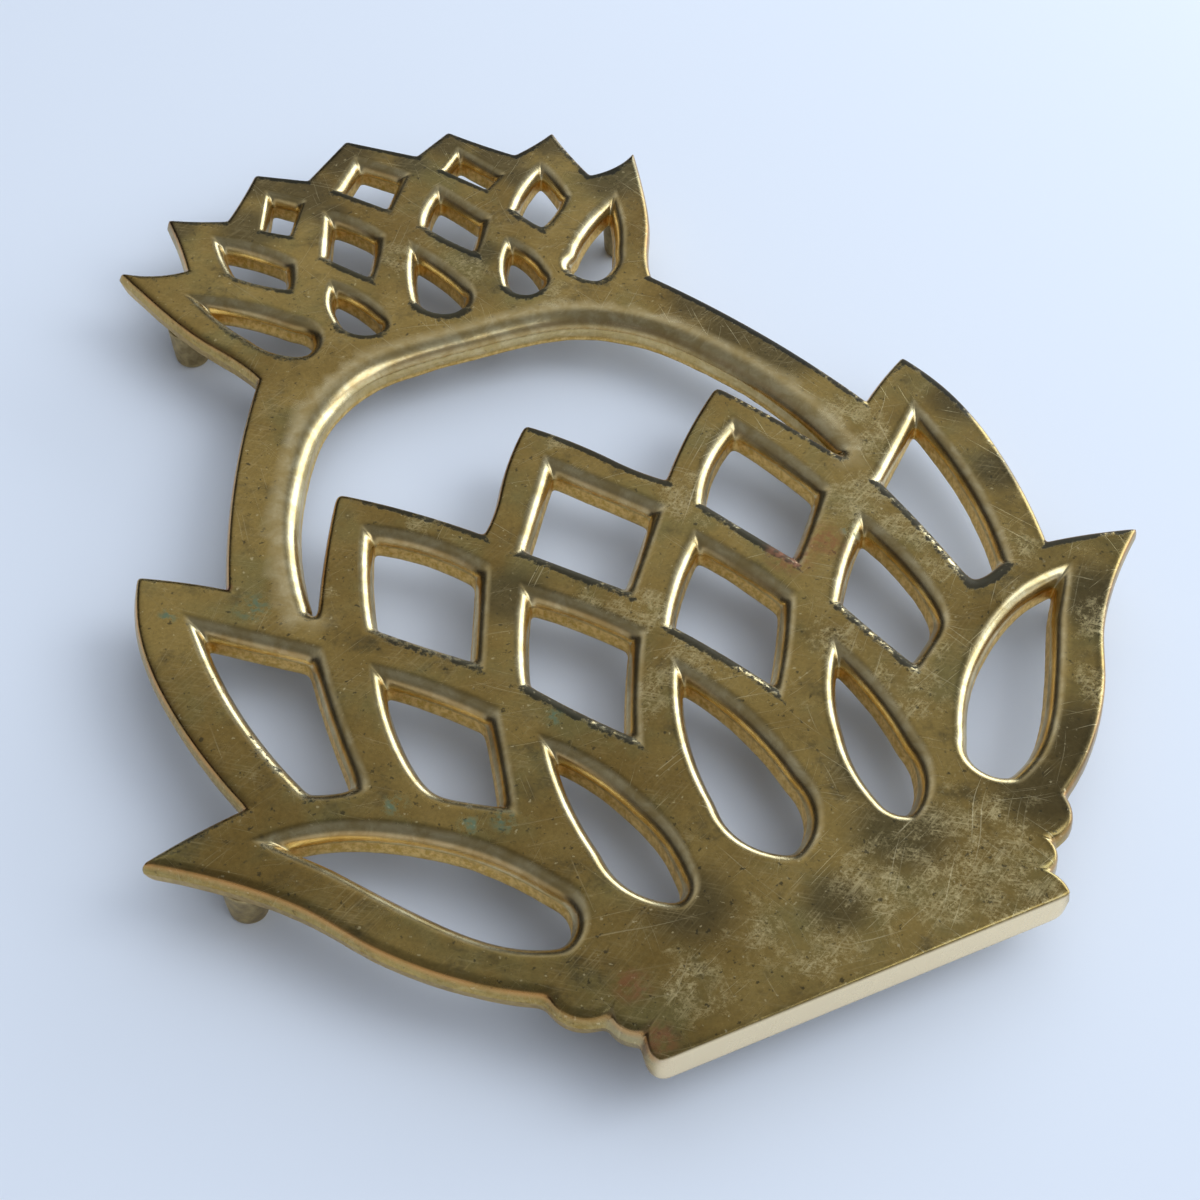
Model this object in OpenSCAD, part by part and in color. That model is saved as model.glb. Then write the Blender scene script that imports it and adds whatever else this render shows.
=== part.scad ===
// Brass trivet: a cast plate, pierced as two tiers of leaves that are joined by a hoop, on four tapered feet.
// Millimetres. The origin lies on the surface the trivet stands on, under the middle of the plate.
// +Y runs from the straight base edge to the top leaf, +Z is up, and the two sides mirror each other in X.

/* [Plate] */
// Length of the top face, from the base edge to the tip of the top leaf
top_length = 200; // [150:1:280]
// Width of the top face, between the tips of the two lowest leaves
top_width = 169; // [127:1:237]
// Thickness of the cast plate
plate_t = 5; // [3:0.5:8]

/* [Edges] */
// How far the outer wall swells past the edge of the top face
edge_swell = 0.6; // [0.2:0.1:1.2]
// Rounding in the valleys between two leaves
valley_r = 0.6; // [0.3:0.1:1.5]
// How far the wall of an opening stands in from the edge of the polished face
opening_lip = 0.9; // [0.3:0.1:1.4]
// Rounding in the corners of an opening
opening_corner_r = 0.8; // [0.3:0.1:1.5]

/* [Feet] */
// Height of the plate's underside above the surface
foot_h = 8; // [5:0.5:25]
// Diameter of a foot where it meets the plate
foot_top_d = 8; // [6:0.5:12]
// Diameter of a foot at its tip, before the edge is broken
foot_tip_d = 6; // [4:0.5:12]
// Broken edge round the tip of a foot
foot_edge = 0.6; // [0.2:0.1:1.2]
// Diameter of the peg that holds a foot in the plate
peg_d = 3; // [2:0.25:4]
// Metal left above the socket of a peg
socket_roof = 2; // [1:0.25:2.5]
// Clearance round a peg and above its end
peg_gap = 0.1; // [0.05:0.05:0.3]

/* [Hidden] */
overrun = 1;
arc_step = 8;
brass = [0.54, 0.45, 0.21];
dark_brass = [0.47, 0.39, 0.20];
left = -1;
right = 1;
peg_l = plate_t - socket_roof - peg_gap;

// Every outline below is a list of [across, up, bow]. Across is a share of half the width and up a share of
// the length, from the middle of the base edge. Bow is how far the stretch to the next point swells out of
// the outline, as a share of that stretch. Outlines run anticlockwise, and those named half are mirrored.

// Base edge, three scallops, lower leaf, upper leaf, hoop, then the five leaves of the crown up to its tip
plate_half_shares = [
    [0, 0, 0], [0.391, 0, 0.05], [0.396, 0.023, 0.18], [0.434, 0.043, 0.21], [0.497, 0.076, 0.078],
    [0.781, 0.198, -0.03], [1, 0.279, 0.02], [0.812, 0.295, 0.03], [0.872, 0.432, 0.055],
    [0.827, 0.533, 0.02], [0.685, 0.495, 0.033], [0.443, 0.714, -0.05], [0.522, 0.782, 0.01],
    [0.602, 0.886, -0.09], [0.473, 0.87, -0.02], [0.459, 0.944, -0.025], [0.343, 0.924, -0.015],
    [0.233, 0.98, 0], [0.131, 0.955, 0], [0, 1, 0]
];
// The large gap under the hoop, over the tips of the three inner leaves
hoop_half_shares = [
    [0, 0.577, -0.03], [0.124, 0.511, 0.03], [0.196, 0.474, -0.025], [0.414, 0.56, -0.015],
    [0.555, 0.442, 0.15], [0.589, 0.452, 0.057], [0.472, 0.605, 0.088], [0.237, 0.699, 0.02], [0, 0.704, 0]
];
// Openings on the centre line
centre_half_shares = [
    [[0, 0.369, 0], [0.161, 0.448, 0], [0, 0.538, 0]],
    [[0, 0.102, 0.2], [0.095, 0.172, 0.068], [0, 0.302, 0]],
    [[0, 0.883, 0], [0.093, 0.932, 0], [0, 0.974, 0]],
    [[0, 0.729, 0.2], [0.071, 0.76, 0.045], [0, 0.838, 0]]
];
// Openings of the main tier that come in pairs: diamond, inner and outer kite, upper leaf, lower leaf, drop
main_pair_shares = [
    [[0.328, 0.347, 0.01], [0.49, 0.416, 0.03], [0.402, 0.52, 0.08], [0.218, 0.442, 0]],
    [[0.14, 0.236, 0.02], [0.285, 0.323, 0.03], [0.183, 0.415, 0.04], [0.017, 0.335, -0.02]],
    [[0.402, 0.216, 0], [0.535, 0.252, 0.065], [0.511, 0.383, 0.035], [0.341, 0.307, 0.01]],
    [[0.607, 0.273, 0.04], [0.723, 0.287, 0.057], [0.778, 0.481, 0], [0.578, 0.412, -0.02]],
    [
        [0.824, 0.266, 0.08], [0.589, 0.24, 0.065], [0.393, 0.155, 0.3],
        [0.438, 0.098, 0.085], [0.606, 0.145, 0.01], [0.742, 0.224, 0.02]
    ],
    [
        [0.227, 0.099, 0.17], [0.322, 0.165, 0.05], [0.298, 0.273, 0.065],
        [0.189, 0.193, 0.065], [0.173, 0.125, 0.18]
    ]
];
// Openings of the crown that come in pairs: diamond, outer and inner kite, leaf, drop
crown_pair_shares = [
    [[0.231, 0.881, 0], [0.292, 0.9, 0], [0.231, 0.953, 0], [0.161, 0.927, 0]],
    [[0.292, 0.809, 0.05], [0.402, 0.848, 0.045], [0.391, 0.907, 0.06], [0.251, 0.85, 0.05]],
    [[0.122, 0.797, 0.01], [0.202, 0.845, 0], [0.137, 0.907, 0.08], [0.04, 0.855, 0.03]],
    [[0.503, 0.838, 0.06], [0.314, 0.777, 0.33], [0.325, 0.72, 0.13], [0.438, 0.762, 0.05]],
    [[0.186, 0.723, 0.2], [0.247, 0.762, 0.1], [0.206, 0.813, 0.07], [0.137, 0.76, 0.25]]
];
// Feet: the front pair under the lower leaves, the back pair under the outer leaves of the crown
front_foot_share = [0.852, 0.255];
back_foot_share = [0.51, 0.826];

function place(share) = [share.x * top_width / 2, (share.y - 0.5) * top_length];

// Points from one end of a bowed stretch up to, and without, its other end
function bowed(from, to, bow) =
    bow == 0
        ? [from]
        : let (
            chord = norm(to - from),
            along = (to - from) / chord,
            outward = [along.y, -along.x] * sign(bow),
            half_turn = 2 * atan(2 * abs(bow)),
            radius = chord / (2 * sin(half_turn)),
            centre = (from + to) / 2 - outward * radius * cos(half_turn),
            steps = ceil(2 * half_turn / arc_step)
        )
        [
            for (i = [0 : steps - 1])
                let (turn = half_turn * (2 * i / steps - 1))
                centre + radius * (outward * cos(turn) + along * sin(turn))
        ];

function closed(shares) = [
    for (i = [0 : len(shares) - 1])
        each bowed(place(shares[i]), place(shares[(i + 1) % len(shares)]), shares[i][2])
];

// The right half of an outline that starts and ends on the centre line, and then its mirror image
function mirrored(shares) =
    let (
        last = len(shares) - 1,
        half = [
            for (i = [0 : last - 1])
                each bowed(place(shares[i]), place(shares[i + 1]), shares[i][2]),
            place(shares[last])
        ]
    )
    concat(half, [for (i = [len(half) - 2 : -1 : 1]) [-half[i].x, half[i].y]]);

function foot_place(side, share) = [side * place(share).x, place(share).y];

module opening(points) {
    offset(r = opening_corner_r)
        offset(r = -opening_lip - opening_corner_r)
            polygon(points);
}

module plate_face() {
    difference() {
        offset(r = -valley_r)
            offset(r = edge_swell + valley_r)
                polygon(mirrored(plate_half_shares));
        opening(mirrored(hoop_half_shares));
        for (shares = centre_half_shares)
            opening(mirrored(shares));
        for (side = [0, 1])
            mirror([side, 0])
                for (shares = concat(main_pair_shares, crown_pair_shares))
                    opening(closed(shares));
    }
}

module socket(side, share) {
    translate([each foot_place(side, share), foot_h - overrun])
        cylinder(h = overrun + peg_l + peg_gap, d = peg_d + 2 * peg_gap, $fn = 48);
}

module plate_casting() {
    color(brass)
        difference() {
            translate([0, 0, foot_h])
                linear_extrude(plate_t)
                    plate_face($fn = 24);
            for (side = [left, right]) {
                socket(side, front_foot_share);
                socket(side, back_foot_share);
            }
        }
}

module foot(side, share) {
    color(dark_brass)
        translate(foot_place(side, share))
            rotate_extrude($fn = 64)
                polygon([
                    [0, 0],
                    [foot_tip_d / 2 - foot_edge, 0],
                    [foot_tip_d / 2, foot_edge],
                    [foot_top_d / 2, foot_h],
                    [peg_d / 2, foot_h],
                    [peg_d / 2, foot_h + peg_l],
                    [0, foot_h + peg_l]
                ]);
}

module foot_front_left() { foot(left, front_foot_share); }
module foot_front_right() { foot(right, front_foot_share); }
module foot_back_left() { foot(left, back_foot_share); }
module foot_back_right() { foot(right, back_foot_share); }

plate_casting();
foot_front_left();
foot_front_right();
foot_back_left();
foot_back_right();
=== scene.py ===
"""An openwork cast brass trivet on a pale floor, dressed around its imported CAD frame.

Lengths are in millimetres in the frame of the CAD part, and become metres where a mesh is made.
"""

import math

import bpy
import numpy as np
from mathutils import Matrix, Vector, kdtree, noise
from mathutils.geometry import delaunay_2d_cdt


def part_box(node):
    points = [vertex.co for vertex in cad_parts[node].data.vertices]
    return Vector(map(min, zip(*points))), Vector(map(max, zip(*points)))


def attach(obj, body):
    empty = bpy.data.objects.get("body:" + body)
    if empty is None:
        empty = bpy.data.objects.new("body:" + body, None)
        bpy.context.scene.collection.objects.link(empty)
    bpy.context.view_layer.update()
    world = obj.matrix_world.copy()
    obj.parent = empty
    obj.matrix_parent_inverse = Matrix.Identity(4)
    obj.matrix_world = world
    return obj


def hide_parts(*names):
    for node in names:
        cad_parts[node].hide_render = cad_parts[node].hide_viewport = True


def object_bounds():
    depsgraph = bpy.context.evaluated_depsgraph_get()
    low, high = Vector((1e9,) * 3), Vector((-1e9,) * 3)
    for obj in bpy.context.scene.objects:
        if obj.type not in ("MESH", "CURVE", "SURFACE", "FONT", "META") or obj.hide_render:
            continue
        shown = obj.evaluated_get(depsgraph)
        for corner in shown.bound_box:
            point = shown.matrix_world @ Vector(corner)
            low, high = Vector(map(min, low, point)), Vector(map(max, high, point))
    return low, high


MM = 0.001
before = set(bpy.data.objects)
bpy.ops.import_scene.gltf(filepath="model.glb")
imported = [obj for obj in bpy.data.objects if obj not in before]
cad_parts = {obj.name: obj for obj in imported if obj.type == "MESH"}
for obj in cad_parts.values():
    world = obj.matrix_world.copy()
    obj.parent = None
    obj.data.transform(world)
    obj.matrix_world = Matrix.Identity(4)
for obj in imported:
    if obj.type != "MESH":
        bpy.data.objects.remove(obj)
cad_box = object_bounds()

# The plate's place and size come from the frame
plate_low, plate_high = (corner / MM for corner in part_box("plate_casting"))
EDGE_SWELL = 0.6
HALF_WIDTH = plate_high.x - EDGE_SWELL
LENGTH = plate_high.y - plate_low.y - 2 * EDGE_SWELL
TOP_Z = plate_high.z
PLATE_T = plate_high.z - plate_low.z
UNDERSIDE_Z = TOP_Z - PLATE_T
FEET = ("foot_front_left", "foot_front_right", "foot_back_left", "foot_back_right")

# Outlines of the top face as [across, up, bow]: shares of half the width and of the length from the base
# edge, and how far the stretch to the next point swells out, as a share of that stretch.
PLATE_HALF_SHARES = (
    (0, 0, 0), (0.391, 0, 0.11), (0.381, 0.025, 0.24), (0.419, 0.047, 0.25), (0.497, 0.076, 0.078),
    (0.781, 0.198, -0.03), (1, 0.279, 0.02), (0.812, 0.295, 0.03), (0.872, 0.432, 0.055),
    (0.827, 0.533, 0.02), (0.685, 0.495, 0.033), (0.443, 0.714, -0.05), (0.522, 0.782, 0.01),
    (0.602, 0.886, -0.09), (0.473, 0.87, -0.02), (0.459, 0.944, -0.025), (0.343, 0.924, -0.015),
    (0.233, 0.98, 0), (0.131, 0.955, 0), (0, 1, 0),
)
HOOP_HALF_SHARES = (
    (0, 0.577, -0.03), (0.124, 0.511, 0.03), (0.196, 0.474, -0.025), (0.414, 0.56, -0.015),
    (0.555, 0.442, 0.15), (0.589, 0.452, 0.057), (0.472, 0.605, 0.088), (0.237, 0.699, 0.02),
    (0, 0.704, 0),
)
CENTRE_HALF_SHARES = (
    ((0, 0.369, 0), (0.161, 0.448, 0), (0, 0.538, 0)),
    ((0, 0.102, 0.2), (0.095, 0.172, 0.068), (0, 0.302, 0)),
    ((0, 0.883, 0), (0.093, 0.932, 0), (0, 0.974, 0)),
    ((0, 0.729, 0.2), (0.071, 0.76, 0.045), (0, 0.838, 0)),
)
PAIR_SHARES = (
    ((0.328, 0.347, 0.01), (0.49, 0.416, 0.03), (0.402, 0.52, 0.08), (0.218, 0.442, 0)),
    ((0.14, 0.236, 0.02), (0.285, 0.323, 0.03), (0.183, 0.415, 0.04), (0.017, 0.335, -0.02)),
    ((0.402, 0.216, 0), (0.535, 0.252, 0.065), (0.511, 0.383, 0.035), (0.341, 0.307, 0.01)),
    ((0.607, 0.273, 0.04), (0.723, 0.287, 0.057), (0.778, 0.481, 0), (0.578, 0.412, -0.02)),
    (
        (0.824, 0.266, 0.08), (0.589, 0.24, 0.065), (0.393, 0.155, 0.3),
        (0.438, 0.098, 0.085), (0.606, 0.145, 0.01), (0.742, 0.224, 0.02),
    ),
    (
        (0.227, 0.099, 0.17), (0.322, 0.165, 0.05), (0.298, 0.273, 0.065),
        (0.189, 0.193, 0.065), (0.173, 0.125, 0.18),
    ),
    ((0.231, 0.881, 0), (0.292, 0.9, 0), (0.231, 0.953, 0), (0.161, 0.927, 0)),
    ((0.292, 0.809, 0.05), (0.402, 0.848, 0.045), (0.391, 0.907, 0.06), (0.251, 0.85, 0.05)),
    ((0.122, 0.797, 0.01), (0.202, 0.845, 0), (0.137, 0.907, 0.08), (0.04, 0.855, 0.03)),
    ((0.503, 0.838, 0.06), (0.314, 0.777, 0.33), (0.325, 0.72, 0.13), (0.438, 0.762, 0.05)),
    ((0.186, 0.723, 0.2), (0.247, 0.762, 0.1), (0.206, 0.813, 0.07), (0.137, 0.76, 0.25)),
)
# Stretches of the hoop gap that run round the leaf tips, and so have the edge of the outer outline
HOOP_LEAF_STRETCHES = 4

# Section of the wall, from the top face down, as (how far out into the open, depth below the top face,
# rounds of softening, polish, lip, rim, edge, under). The last five go to the material: smooth metal, the
# rounded lip of an opening, where dark tarnish and painted shade gather, a painted copper highlight, and
# the underside.
REACH, DEPTH, ROUNDS, POLISH, LIP, RIM, EDGE, UNDER = range(8)
OUTER_SECTION = (
    (-1.80, 0.00, 0, 1.0, 0, 0.2, 0.0, 0), (-1.30, 0.00, 0, 1.0, 0, 0.8, 0.0, 0),
    (-0.85, 0.03, 0, 1.0, 0, 1.0, 0.0, 0), (-0.50, 0.10, 0, 1.0, 0, 1.0, 0.0, 0),
    (-0.20, 0.22, 1, 1.0, 0, 1.0, 0.1, 0), (0.03, 0.40, 1, 1.0, 0, 0.6, 0.7, 0),
    (0.19, 0.64, 1, 1.0, 0, 0.1, 1.0, 0), (0.30, 0.94, 2, 0.9, 0, 0.0, 0.8, 0),
    (0.39, 1.30, 2, 0.8, 0, 0.0, 0.3, 0), (0.46, 1.62, 3, 0.8, 0, 0.0, 0.0, 0),
    (0.52, 1.95, 3, 0.7, 0, 0.0, 0.0, 0), (0.57, 2.20, 4, 0.7, 0, 0.0, 0.0, 0),
    (0.60, 2.38, 4, 0.6, 0, 0.0, 0.0, 0), (0.56, 2.55, 4, 0.5, 0, 0.0, 0.0, 0),
    (0.47, 2.95, 4, 0.4, 0, 0.0, 0.0, 0), (0.36, 3.45, 4, 0.4, 0, 0.0, 0.0, 0),
    (0.24, 3.95, 4, 0.4, 0, 0.0, 0.0, 0), (0.12, 4.40, 4, 0.3, 0, 0.0, 0.0, 0.1),
    (-0.05, 4.72, 4, 0.2, 0, 0.0, 0.0, 0.3), (-0.25, 4.92, 4, 0.1, 0, 0.0, 0.0, 0.6),
    (-0.55, 5.00, 4, 0.0, 0, 0.0, 0.0, 1), (-1.30, 5.00, 3, 0.0, 0, 0.0, 0.0, 1),
)
OPENING_SECTION = (
    (-1.20, 0.00, 0, 1.0, 0.0, 0.4, 0.0, 0), (-0.80, 0.00, 0, 1.0, 0.0, 0.8, 0.0, 0),
    (-0.45, 0.03, 1, 1.0, 0.0, 1.0, 0.0, 0), (-0.12, 0.09, 1, 1.0, 0.35, 1.0, 0.0, 0),
    (0.20, 0.19, 1, 1.0, 0.85, 1.0, 0.0, 0), (0.50, 0.33, 2, 1.0, 1.0, 1.0, 0.0, 0),
    (0.79, 0.52, 3, 1.0, 1.0, 1.0, 0.0, 0), (1.06, 0.75, 3, 1.0, 1.0, 1.0, 0.1, 0),
    (1.30, 1.01, 4, 1.0, 1.0, 0.8, 0.3, 0), (1.51, 1.29, 4, 1.0, 1.0, 0.4, 0.3, 0),
    (1.69, 1.60, 5, 1.0, 1.0, 0.1, 0.1, 0), (1.85, 1.91, 5, 1.0, 1.0, 0.0, 0.0, 0),
    (1.96, 2.20, 5, 0.9, 0.8, 0.0, 0.0, 0), (2.02, 2.42, 6, 0.5, 0.4, 0.0, 0.0, 0),
    (1.97, 2.62, 6, 0.0, 0.0, 0.0, 0.0, 0), (2.02, 3.10, 6, 0.0, 0.0, 0.0, 0.0, 0),
    (2.12, 3.70, 6, 0.0, 0.0, 0.0, 0.0, 0), (2.22, 4.25, 6, 0.0, 0.0, 0.0, 0.0, 0.1),
    (2.22, 4.68, 6, 0.0, 0.0, 0.0, 0.0, 0.3), (2.08, 4.90, 6, 0.0, 0.0, 0.0, 0.0, 0.6),
    (1.80, 5.00, 6, 0.0, 0.0, 0.0, 0.0, 1), (1.20, 5.00, 6, 0.0, 0.0, 0.0, 0.0, 1),
)
# Dark tarnish and painted shade lie along the edges that face this way on the plate, away from the view,
# and only thin tarnish on the others
SHADED_SIDE = (0.506, 0.862)
GRIME_ELSEWHERE = 0.12
# Rings at the top of the base wall where a thin dull line runs, and how dull it is
BASE_LINE_RINGS = (4, 5)
BASE_LINE = 0.5
# The lip of the hoop gap is wider than the others, and its wall is nearly as smooth as the lip
HOOP_LIP = 1.3
HOOP_POLISH = 0.75
# The wall under the base edge is smooth and slopes out to near its foot
BASE_SLOPE = (
    (-1.70, 0.00), (-1.00, 0.00), (-0.58, 0.01), (-0.32, 0.05), (-0.17, 0.14), (-0.09, 0.32),
    (-0.02, 0.60), (0.05, 0.95), (0.12, 1.35), (0.19, 1.75), (0.26, 2.15), (0.33, 2.55),
    (0.39, 2.90), (0.45, 3.25), (0.51, 3.60), (0.56, 3.92), (0.59, 4.20), (0.60, 4.45),
    (0.54, 4.70), (0.34, 4.90), (0.00, 5.00), (-0.90, 5.00),
)
# How much of the slope the small curls beside the base edge have, and how far its corners are rounded
CURL_SLOPE = 0.25
CORNER_ROUNDS = 14
# Joints of bowed stretches where the real outline runs on smoothly, as shares, and how far that reaches
SMOOTH_JOINTS = (
    (0.781, 0.198), (0.872, 0.432), (0.237, 0.699), (0.472, 0.605), (0.589, 0.24), (0.606, 0.145),
    (0.522, 0.782),
)
JOINT_REACH = 8.0
JOINT_FULL = 1.4
JOINT_ROUNDS = 90
# Openings whose doubled area over perimeter is less than this, in millimetres, have narrower lips
FULL_LIP_OPENING = 6.6
# Distance between the points of an outline, and between those of the grid inside a face. Rows of the grid
# stand closer, and the grid keeps clear of the outlines, by these shares of it.
SAMPLE_STEP = 0.55
FEWEST_STEPS = 3
FACE_GRID = 2.4
GRID_ROW = 0.87
GRID_CLEAR = 0.4
MERGE_DISTANCE = 1e-6
# Rounds of blurring along an outline, where one section runs into another and where the tarnish and painted
# shade along the edges come in
BASE_BLUR = 3
HOOP_BLUR = 12
CORNER_BLUR = 10
SHADE_BLUR = 2
# The painted shade along the edges comes in with this slope, from this start, over how squarely an edge
# faces the shaded side
SHADE_SLOPE = 2.5
SHADE_START = 0.8
# The top face waves, and its edges down to this depth, in waves of (strength, length, seed)
WAVE_DEPTH = 0.07
WAVE_REACH = 1.0
TOP_WAVES = ((0.35, 26, 5.2), (0.15, 9, 9.4))
# Raw walls are uneven in lumps and finer grains, and wave along their lower edge
CAST_ROUGHNESS = 0.05
CAST_LUMP = 2.2
CAST_GRAIN = 0.9
CAST_GRAIN_SHARE = 0.6
LOWER_EDGE_WAVE = 0.16
LOWER_EDGE_LENGTH = 5
LOWER_EDGE_FROM = 0.8
LUMP_SEED, GRAIN_SEED, LOWER_EDGE_SEED = 3.1, 7.7, 1.3
# Least share of raw metal that is made uneven, and the depth from which the base wall has its own colour
RAW_FROM = 0.05
BASE_COLOUR_FROM = 0.2
# How many of the last rings stay raw, and how many stay out of the hoop's smooth wall
RAW_RINGS = 2
ROUGH_HOOP_RINGS = 5
SOCKET_R = 1.6
SOCKET_DEPTH = 3.0
SOCKET_SIDES = 24


def place(share):
    """A point of an outline, in millimetres, from its shares."""
    return np.array([share[0] * HALF_WIDTH, (share[1] - 0.5) * LENGTH])


def sample_stretch(start, end, bow):
    """Points along one bowed stretch and the direction of travel at each, with the end itself last."""
    chord = float(np.linalg.norm(end - start))
    along = (end - start) / chord
    count = max(FEWEST_STEPS, round(chord / SAMPLE_STEP))
    shares = np.linspace(0, 1, count + 1)
    if bow == 0:
        return start + shares[:, None] * (end - start), np.repeat(along[None], count + 1, 0), shares
    outward = np.array([along[1], -along[0]]) * math.copysign(1, bow)
    half_turn = 2 * math.atan(2 * abs(bow))
    radius = chord / (2 * math.sin(half_turn))
    centre = (start + end) / 2 - outward * radius * math.cos(half_turn)
    turn = (half_turn * (2 * shares - 1))[:, None]
    points = centre + radius * (outward * np.cos(turn) + along * np.sin(turn))
    return points, along * np.cos(turn) - outward * np.sin(turn), shares


def outward_of(direction):
    """The normal on the right of a direction of travel, which is outwards on an anticlockwise outline."""
    return np.stack([direction[..., 1], -direction[..., 0]], -1)


def trace(stretches):
    """Points of a closed outline, and how each moves when the outline grows by one millimetre.

    The corners move along their mitres, and the points between share the slip, so no stretch folds over.
    """
    sampled = [sample_stretch(place(a), place(b), a[2]) for a, b in stretches]
    mitres = []
    for i in range(len(sampled)):
        before = outward_of(sampled[i - 1][1][-1])
        after = outward_of(sampled[i][1][0])
        mitres.append((before + after) / (1 + before @ after))
    points, grow, stretch_of = [], [], []
    for i, (place_of, along, shares) in enumerate(sampled):
        slip_start = mitres[i] @ along[0]
        slip_end = mitres[(i + 1) % len(sampled)] @ along[-1]
        slip = ((1 - shares) * slip_start + shares * slip_end)[:, None]
        points.append(place_of[:-1])
        grow.append((outward_of(along) + along * slip)[:-1])
        stretch_of += [i] * (len(shares) - 1)
    return np.concatenate(points), np.concatenate(grow), np.array(stretch_of)


def closed_stretches(shares):
    """The stretches of an outline that is given all the way round."""
    return [(shares[i], shares[(i + 1) % len(shares)]) for i in range(len(shares))]


def mirror_stretches(stretches):
    """The same outline on the other side, still anticlockwise. A stretch keeps its bow at its own start."""
    return [((-b[0], b[1], a[2]), (-a[0], a[1], 0)) for a, b in reversed(stretches)]


def half_stretches(shares):
    """A whole outline from its right half."""
    half = [(shares[i], shares[i + 1]) for i in range(len(shares) - 1)]
    return half + mirror_stretches(half)


def soften(values, rounds):
    """Rounds the corners of a closed row of points, or blurs a closed row of numbers."""
    for _ in range(rounds):
        values = (np.roll(values, 1, 0) + 2 * values + np.roll(values, -1, 0)) / 4
    return values


def outlines():
    """Every outline of the plate as (points, growth, share of opening section, share of base slope, side).

    Side is 1 where the open lies outside the outline, and -1 where it lies inside.
    """
    found = []
    points, grow, stretch_of = trace(half_stretches(PLATE_HALF_SHARES))
    last = stretch_of.max()
    base = np.isin(stretch_of, (0, last)) + CURL_SLOPE * np.isin(stretch_of, (1, 2, last - 1, last - 2))
    base = soften(base, BASE_BLUR)
    found.append((points, grow, np.zeros(len(points)), base, 1))
    points, grow, stretch_of = trace(half_stretches(HOOP_HALF_SHARES))
    last = stretch_of.max()
    leaf = (stretch_of < HOOP_LEAF_STRETCHES) | (stretch_of > last - HOOP_LEAF_STRETCHES)
    open_share = soften(1 - leaf.astype(float), HOOP_BLUR)
    found.append((points, grow, open_share, np.zeros(len(points)), -1))
    closed = [half_stretches(shares) for shares in CENTRE_HALF_SHARES]
    for shares in PAIR_SHARES:
        right_side = closed_stretches(shares)
        closed += [right_side, mirror_stretches(right_side)]
    for stretches in closed:
        points, grow, _ = trace(stretches)
        found.append((points, grow, np.ones(len(points)), np.zeros(len(points)), -1))
    return found


def smooth_joints(points, grow):
    """Runs the bowed stretches into each other at the joints where the real outline has no corner."""
    near = np.zeros(len(points))
    for share in SMOOTH_JOINTS:
        for side in (-1, 1):
            away = np.linalg.norm(points - place(share) * (side, 1), axis=1)
            near = np.maximum(near, np.clip(JOINT_FULL - away / JOINT_REACH, 0, 1))
    near = near[:, None]
    points = points + near * (soften(points, JOINT_ROUNDS) - points)
    return points, grow + near * (soften(grow, JOINT_ROUNDS) - grow)


def lip_share(points):
    """How wide the lip of an opening is, as a share of the widest."""
    ahead = np.roll(points, -1, 0)
    area = abs((points[:, 0] * ahead[:, 1] - points[:, 1] * ahead[:, 0]).sum()) / 2
    around = np.linalg.norm(ahead - points, axis=1).sum()
    return min(1, 2 * area / around / FULL_LIP_OPENING)


def rough(x, y, z, size, seed):
    """Smooth random value from about -1 to 1 that varies over size millimetres."""
    return noise.noise(Vector((x / size + seed, y / size - seed, z / size + 2 * seed)))


def inside(points, starts, ends):
    """Which points lie inside the loops made of these edges, by counting crossings."""
    result = np.zeros(len(points), bool)
    x, y = points[:, 0], points[:, 1]
    for (ax, ay), (bx, by) in zip(starts, ends):
        if ay != by:
            crosses = (ay > y) != (by > y)
            result ^= crosses & (x < (bx - ax) * (y - ay) / (by - ay) + ax)
    return result


def fill_face(loops, grid):
    """Triangles between closed loops of (x, y), with points on a grid inside.

    Returns the added grid points and the triangles. Points count through all the loops and then the grid.
    """
    rim = np.concatenate(loops)
    starts = rim
    ends = np.concatenate([np.roll(loop, -1, 0) for loop in loops])
    tree = kdtree.KDTree(len(rim))
    for i, (x, y) in enumerate(rim):
        tree.insert((x, y, 0), i)
    tree.balance()
    low, high = rim.min(0), rim.max(0)
    columns = np.arange(low[0], high[0], grid)
    rows = np.arange(low[1], high[1], grid * GRID_ROW)
    across, up = np.meshgrid(columns, rows)
    across = across + (np.arange(across.shape[0]) % 2)[:, None] * grid / 2
    candidates = np.column_stack([across.ravel(), up.ravel()])
    candidates = candidates[inside(candidates, starts, ends)]
    clear = [tree.find((x, y, 0))[2] > grid * GRID_CLEAR for x, y in candidates]
    added = candidates[np.array(clear)]
    edges, first = [], 0
    for loop in loops:
        edges += [(first + i, first + (i + 1) % len(loop)) for i in range(len(loop))]
        first += len(loop)
    every = [Vector(p) for p in np.concatenate([rim, added])]
    made = delaunay_2d_cdt(every, edges, [], 0, MERGE_DISTANCE, True)
    source = [origins[0] if origins else -1 for origins in made[3]]
    faces = [tuple(source[i] for i in face) for face in made[2]]
    faces = [face for face in faces if min(face) >= 0]
    flat = np.array([tuple(p) for p in every])
    centres = flat[np.array(faces)].mean(1)
    keep = inside(centres, starts, ends)
    return added, [face for face, kept in zip(faces, keep) if kept]


def band(start, other, count):
    """Faces between two closed rows of points, from the first point of each."""
    after = [(i + 1) % count for i in range(count)]
    return [(start + i, start + after[i], other + after[i], other + i) for i in range(count)]


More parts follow.
